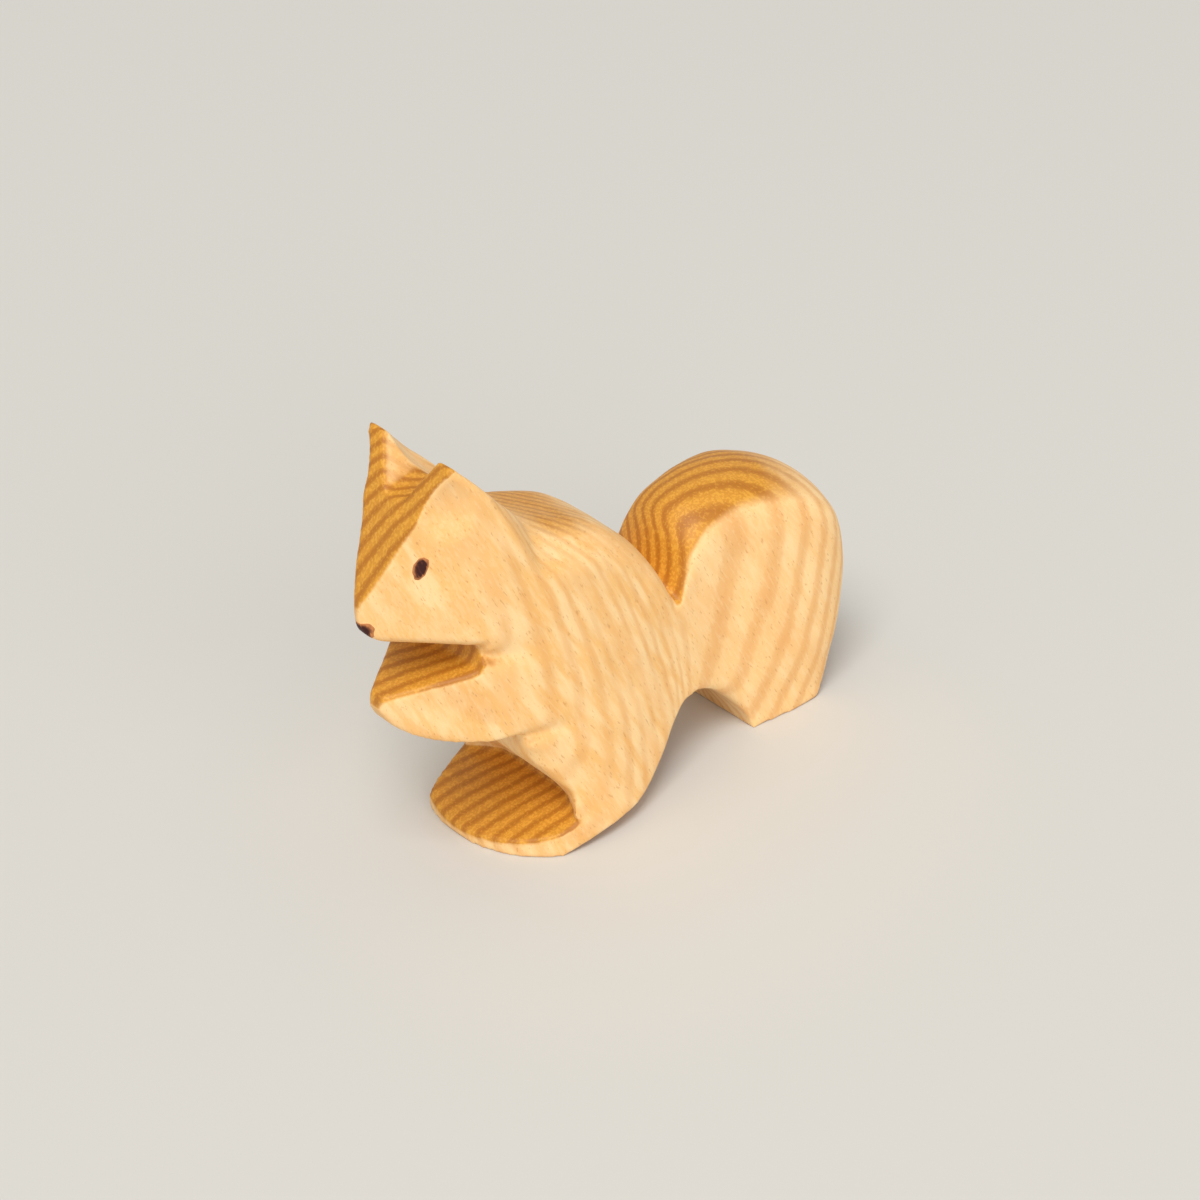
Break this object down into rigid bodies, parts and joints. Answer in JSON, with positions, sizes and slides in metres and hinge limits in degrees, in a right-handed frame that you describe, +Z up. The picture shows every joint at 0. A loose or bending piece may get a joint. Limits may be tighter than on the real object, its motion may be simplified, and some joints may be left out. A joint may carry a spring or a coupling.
{
  "type": "squirrel figurine",
  "caption": "Carved wooden toy squirrel that stands on its feet and tail, with pricked ears, arms held forward, an arched tail and dark stained eyes and nose.",
  "frame": {"origin": "on the ground under the middle of the bounding box, between the feet and the tail", "axes": "X runs from the nose (-X) to the tail (+X), Y runs across the thickness with the squirrel's left side at -Y, Z is up"},
  "size_m": [0.097, 0.0296, 0.076],
  "materials": {
    "wood": "smooth, oiled, open-pored hardwood",
    "stain": "dark brown stain soaked into the wood"
  },
  "bodies": {
    "root": {"carved_body": "wood", "left_eye": "stain", "right_eye": "stain", "nose_tip": "stain"}
  },
  "joints": []
}
